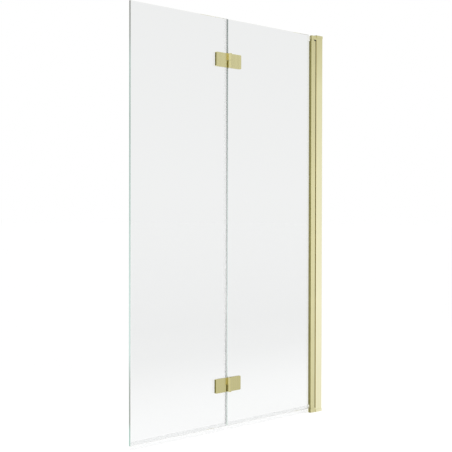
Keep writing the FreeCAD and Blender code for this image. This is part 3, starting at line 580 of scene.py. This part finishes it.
# Painted shade up the joint: towards the top the body's alpha rises and its milk is painted darker.
BODY_ALPHA = {0.0: 0.30, 0.4: 0.30, 0.7: 0.42, 1.0: 0.50, 1.4: 0.56}
BODY_START, BODY_FULL = 0.0002, 0.0005
JOINT_PAINTED_SHADE = {0.0: 1.0, 0.6: 1.0, 1.0: 0.78, 1.4: 0.66}
JOINT_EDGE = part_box("outer_glass")[1].x
drip_finish, *_, vinyl = clear_vinyl("clear_drip_seal")
vinyl.inputs["Alpha"].default_value = DRIP_ALPHA
joint_finish, tree, place, milk, vinyl = clear_vinyl("clear_joint_seal")
along = add(tree, "ShaderNodeSeparateXYZ", Vector=place).outputs["X"]
in_gap = span(tree, along, JOINT_EDGE + BODY_START, JOINT_EDGE + BODY_FULL)
body_alpha = reckon(tree, "MULTIPLY", in_gap, height_ramp(tree, place, tinted(BODY_ALPHA)))
tree.links.new(reckon(tree, "MAXIMUM", body_alpha, LEG_ALPHA), vinyl.inputs["Alpha"])
# The milk is multiplied by the painted shade by height.
milk_with_painted_shade = blend_colours(tree, 1.0, milk, height_ramp(tree, place, tinted(JOINT_PAINTED_SHADE)), "MULTIPLY")
tree.links.new(milk_with_painted_shade, vinyl.inputs["Base Color"])
paint(drip_finish, "inner_bottom_seal", "outer_bottom_seal")
paint(joint_finish, "joint_seal_top", "joint_seal_middle", "joint_seal_bottom")

# %% [markdown]
# ## Rubber, nylon and steel
# Small hidden pieces still get a finish of their own, because a part in a library is looked at from
# every side and with its joints open. Rubber is matt and a little mottled, nylon is amber and satin,
# and steel is a metal with a fine grain. Some of these colours carry painted light: the nylon's amber
# is a painted reflection of the brass in the shaded seams where the bush flanges show, and the olive
# of the gasket and the brown of the gap seal are partly the rubber's own dark and partly painted
# shade, the shade of the brass gaps they sit in. One recipe makes all three: a noise that moves the
# colour, the roughness and a faint bump.

# %% Helper: a speckled finish
SPECK_RANGE = (0.30, 0.70)
SPECK_SATIN = 0.1
SPECK_STRENGTH, SPECK_DEPTH = 0.1, 0.0002


def speckled(name, dark, pale, satin, grain, metal=0.0):
    finish, tree = start_finish(name)
    place = add(tree, "ShaderNodeTexCoord").outputs["Object"]
    speck = add(tree, "ShaderNodeTexNoise", Vector=place, Scale=grain, Detail=4.0).outputs["Fac"]
    hue = two_tone(tree, speck, dark, pale, *SPECK_RANGE)
    relief = add(tree, "ShaderNodeBump", Height=speck, Strength=SPECK_STRENGTH, Distance=SPECK_DEPTH)
    body = add(
        tree, "ShaderNodeBsdfPrincipled", Metallic=metal, Base_Color=hue,
        Roughness=span(tree, speck, 0.0, 1.0, satin - SPECK_SATIN, satin + SPECK_SATIN),
        Normal=relief.outputs["Normal"],
    )
    close_finish(tree, body)
    return finish


# %% Mix the rubber, the nylon and the steel
# The gasket's olive is partly the rubber's own dark and partly painted shade, the shade of the brass
# side beside it.
pad_rubber = speckled(
    "pad_rubber", dark=(0.20, 0.185, 0.085), pale=(0.28, 0.26, 0.13), satin=0.70, grain=700.0
)
# The gap seal's brown is partly the rubber's own dark and partly painted shade, the shaded gold of the
# gap it fills.
brown_rubber = speckled(
    "brown_rubber", dark=(0.085, 0.065, 0.022), pale=(0.13, 0.10, 0.04), satin=0.70, grain=700.0
)
black_rubber = speckled(
    "black_rubber", dark=(0.012, 0.012, 0.010), pale=(0.030, 0.030, 0.026), satin=0.75, grain=900.0
)
# The nylon's amber is a painted reflection of the brass in the shaded seams.
amber_nylon = speckled(
    "amber_nylon", dark=(0.46, 0.41, 0.17), pale=(0.55, 0.50, 0.23), satin=0.42, grain=400.0
)
plain_steel = speckled(
    "plain_steel", dark=(0.52, 0.52, 0.50), pale=(0.66, 0.66, 0.63), satin=0.30, grain=900.0, metal=1.0
)
paint(pad_rubber, "glazing_gasket", "inner_hinge_pads", "outer_hinge_pads")
paint(brown_rubber, "gap_seal")
paint(amber_nylon, "pivot_bushes", "knuckle_bushes")
paint(plain_steel, "pivot_pins", "hinge_pins", "inner_clamp_screws", "outer_clamp_screws")

# %% [markdown]
# ## Adjuster covers
# When the screen is fitted, three screws through the back of the post lock it on the channel in the
# wall. Push-on covers hide them. Each is a shallow turned cap: a disc, extruded to a rim, inset and
# drawn up a little at the crown, with its corners rounded by a bevel. Helpers pick the points out of
# what an operation made, round edges, turn a piece to face the back, and make each finished bmesh an
# object at the origin that rides on its body.

# %% Helpers: pick points, round edges, face the back, keep a piece
def points_of(made):
    return [part for part in made if isinstance(part, bmesh.types.BMVert)]


def round_edges(piece_mesh, edges, radius, steps=4):
    bmesh.ops.bevel(
        piece_mesh, geom=edges, offset=radius, segments=steps, profile=0.5, affect="EDGES", material=-1
    )


def face_the_back(piece_mesh, x, y, z):
    bmesh.ops.rotate(piece_mesh, verts=piece_mesh.verts, matrix=Matrix.Rotation(-math.pi / 2, 3, "X"))
    bmesh.ops.translate(piece_mesh, vec=(x, y, z), verts=piece_mesh.verts)


def keep(piece_mesh, name, finish, body):
    mesh = bpy.data.meshes.new(name)
    piece_mesh.to_mesh(mesh)
    piece_mesh.free()
    mesh.materials.append(finish)
    piece = bpy.data.objects.new(name, mesh)
    bpy.context.scene.collection.objects.link(piece)
    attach(piece, body)
    print(name, "has", len(mesh.polygons), "faces")
    return piece


# %% Turn the adjuster covers
ROUND_SIDES = 48
COVER_RADIUS = 0.0068
COVER_RIM = 0.0026
COVER_CROWN = 0.0012
COVER_SLOPE = 0.35 * COVER_RADIUS
COVER_ROUND = 0.0008
COVER_FOOT = 0.001
SHARP_ANGLE = 0.3
COVER_X = -0.012
COVER_HEIGHTS = {"lower": 0.2, "middle": 0.7, "upper": 1.2}


def adjuster_cover():
    cover = bmesh.new()
    bmesh.ops.create_circle(cover, cap_ends=True, segments=ROUND_SIDES, radius=COVER_RADIUS)
    top = bmesh.ops.extrude_face_region(cover, geom=cover.faces[:])["geom"]
    bmesh.ops.translate(cover, vec=(0.0, 0.0, COVER_RIM), verts=points_of(top))
    crown = [part for part in top if isinstance(part, bmesh.types.BMFace)]
    bmesh.ops.inset_region(cover, faces=crown, thickness=COVER_SLOPE, depth=COVER_CROWN)
    bmesh.ops.recalc_face_normals(cover, faces=cover.faces)
    sharp = [
        edge for edge in cover.edges
        if edge.calc_face_angle(0.0) > SHARP_ANGLE and edge.verts[0].co.z > COVER_FOOT
    ]
    round_edges(cover, sharp, COVER_ROUND)
    for face in cover.faces:
        face.smooth = len(face.verts) == 4
    return cover


for level, height in COVER_HEIGHTS.items():
    cover = adjuster_cover()
    face_the_back(cover, COVER_X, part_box("hinge_post")[1].y, height)
    keep(cover, f"{level}_adjuster_cover", cap_brass, "wall_frame")

# %% [markdown]
# ## Socket screws
# Each hinge leaf is clamped to the glass by a screw from the back, driven with a hex key. The CAD
# keeps it plain. Here it gets its socket: a hexagon, cut to as many edges as the round of the head,
# is bridged to that round for the top of the head. The hexagon's edges are then extruded down for the
# socket, and the round's for the side of the head, the underside and the shank. One bevel softens the
# rim, and a copy at the other hinge makes the pair that stands for the CAD's pair.

# %% Helpers: draw a rim down or in, make a screw
SCREW_HEAD_RADIUS = 0.0055
SCREW_HEAD_HEIGHT = 0.0025
SCREW_HEAD_ROUND = 0.0006
SCREW_SHANK_RADIUS = 0.0030
SOCKET_SIDES = 6
SOCKET_RADIUS = 0.0029
SOCKET_DEPTH = 0.0017


def draw_rim(piece_mesh, rim, drop=0.0, scale=1.0):
    new = bmesh.ops.extrude_edge_only(piece_mesh, edges=rim)["geom"]
    bmesh.ops.scale(piece_mesh, vec=(scale, scale, 1.0), verts=points_of(new))
    bmesh.ops.translate(piece_mesh, vec=(0.0, 0.0, -drop), verts=points_of(new))
    return [part for part in new if isinstance(part, bmesh.types.BMEdge)]


def socket_screw(length):
    screw = bmesh.new()
    bmesh.ops.create_circle(screw, cap_ends=False, segments=SOCKET_SIDES, radius=SOCKET_RADIUS)
    bmesh.ops.subdivide_edges(screw, edges=screw.edges[:], cuts=ROUND_SIDES // SOCKET_SIDES - 1)
    hexagon = screw.edges[:]
    bmesh.ops.create_circle(screw, cap_ends=False, segments=ROUND_SIDES, radius=SCREW_HEAD_RADIUS)
    rim = [edge for edge in screw.edges if edge not in hexagon]
    bmesh.ops.bridge_loops(screw, edges=hexagon + rim)
    floor_rim = draw_rim(screw, hexagon, drop=SOCKET_DEPTH)
    bmesh.ops.edgeloop_fill(screw, edges=floor_rim)
    side = draw_rim(screw, rim, drop=SCREW_HEAD_HEIGHT)
    neck = draw_rim(screw, side, scale=SCREW_SHANK_RADIUS / SCREW_HEAD_RADIUS)
    tip = draw_rim(screw, neck, drop=length - SCREW_HEAD_HEIGHT)
    bmesh.ops.edgeloop_fill(screw, edges=tip)
    bmesh.ops.recalc_face_normals(screw, faces=screw.faces)
    round_edges(screw, rim, SCREW_HEAD_ROUND)
    return screw


# %% Turn the socket screws
for side in ("inner", "outer"):
    low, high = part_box(f"{side}_clamp_screws")
    lower = low.z + SCREW_HEAD_RADIUS
    upper = high.z - SCREW_HEAD_RADIUS
    pair = socket_screw(high.y - low.y)
    face_the_back(pair, (low.x + high.x) / 2, high.y, lower)
    everything = pair.verts[:] + pair.edges[:] + pair.faces[:]
    copy = bmesh.ops.duplicate(pair, geom=everything)["geom"]
    bmesh.ops.translate(pair, vec=(0.0, 0.0, upper - lower), verts=points_of(copy))
    screws = keep(pair, f"{side}_socket_screws", plain_steel, f"{side}_panel")
    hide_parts(f"{side}_clamp_screws")

# %% [markdown]
# ## Slip plates
# Between each end plug of the pivot profile and its block there is room for the flange of a nylon
# bush. A thin plate round the flange closes that seam to a hair line. Its plan is the plug's own: a
# straight front, a rounded front corner and a slanted back. A fill between the plan and a round hole
# makes the ring, and an extrude gives it its thickness.

# %% Helper: cut a slip plate
PIVOT_X, PIVOT_Y, _ = joint_place("wall_swing")
FLANGE_HOLE = 0.0063
PLUG_SLANT = 0.016
PLUG_ROUND = 0.0015
PLUG_ROUND_STEPS = 6
PLATE_THICKNESS = 0.0016
SAME_PLACE = 1e-5
plug_low, plug_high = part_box("top_pivot_plug")
PLUG_PLAN = (
    (plug_low.x, plug_low.y), (plug_high.x, plug_low.y), (plug_high.x, plug_high.y),
    (plug_low.x + PLUG_SLANT, plug_high.y), (plug_low.x, plug_high.y - PLUG_SLANT),
)


def slip_plate(foot):
    plate = bmesh.new()
    to_pivot = Matrix.Translation((PIVOT_X, PIVOT_Y, foot))
    bmesh.ops.create_circle(
        plate, cap_ends=False, segments=ROUND_SIDES, radius=FLANGE_HOLE, matrix=to_pivot
    )
    corners = [plate.verts.new((x, y, foot)) for x, y in PLUG_PLAN]
    for place, corner in enumerate(corners):
        plate.edges.new((corners[place - 1], corner))
    bmesh.ops.triangle_fill(plate, use_beauty=True, use_dissolve=False, edges=plate.edges[:])
    top = bmesh.ops.extrude_face_region(plate, geom=plate.faces[:])["geom"]
    bmesh.ops.translate(plate, vec=(0.0, 0.0, PLATE_THICKNESS), verts=points_of(top))
    bmesh.ops.recalc_face_normals(plate, faces=plate.faces)
    front_corner = [
        edge for edge in plate.edges
        if all((point.co.xy - Vector(PLUG_PLAN[0])).length < SAME_PLACE for point in edge.verts)
    ]
    round_edges(plate, front_corner, PLUG_ROUND, PLUG_ROUND_STEPS)
    return plate


# %% Cut the slip plates
PLATE_FEET = {"top": plug_high.z, "bottom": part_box("bottom_pivot_plug")[0].z - PLATE_THICKNESS}
for end, foot in PLATE_FEET.items():
    keep(slip_plate(foot), f"{end}_slip_plate", pivot_brass, "inner_panel")

# %% [markdown]
# ## A black pad in the seam
# A small black pad is let into the front corner of the top plug. Its black is painted shade: it stands
# for the shaded hollow of the seam between the plug and its block. It is a slab with rounded corners:
# a cube, scaled to size, with all its edges bevelled. It stands a little proud of the plug's side,
# front and top.

# %% Let in the black pad
SHADE_PAD_SIZE = Vector((0.0098, 0.0034, 0.0047))
SHADE_PAD_ROUND = 0.0005
SIDE_PROUD, FRONT_PROUD, TOP_PROUD = 0.0003, 0.0004, 0.0014
shade_pad_middle = (
    plug_high.x + SIDE_PROUD - SHADE_PAD_SIZE.x / 2,
    plug_low.y - FRONT_PROUD + SHADE_PAD_SIZE.y / 2,
    plug_high.z + TOP_PROUD - SHADE_PAD_SIZE.z / 2,
)
shade_pad = bmesh.new()
bmesh.ops.create_cube(shade_pad, size=1.0)
bmesh.ops.scale(shade_pad, vec=SHADE_PAD_SIZE, verts=shade_pad.verts)
bmesh.ops.translate(shade_pad, vec=shade_pad_middle, verts=shade_pad.verts)
round_edges(shade_pad, shade_pad.edges[:], SHADE_PAD_ROUND)
# Painted shade: a black pad in the seam's shaded hollow.
keep(shade_pad, "stop_buffer", black_rubber, "inner_panel")
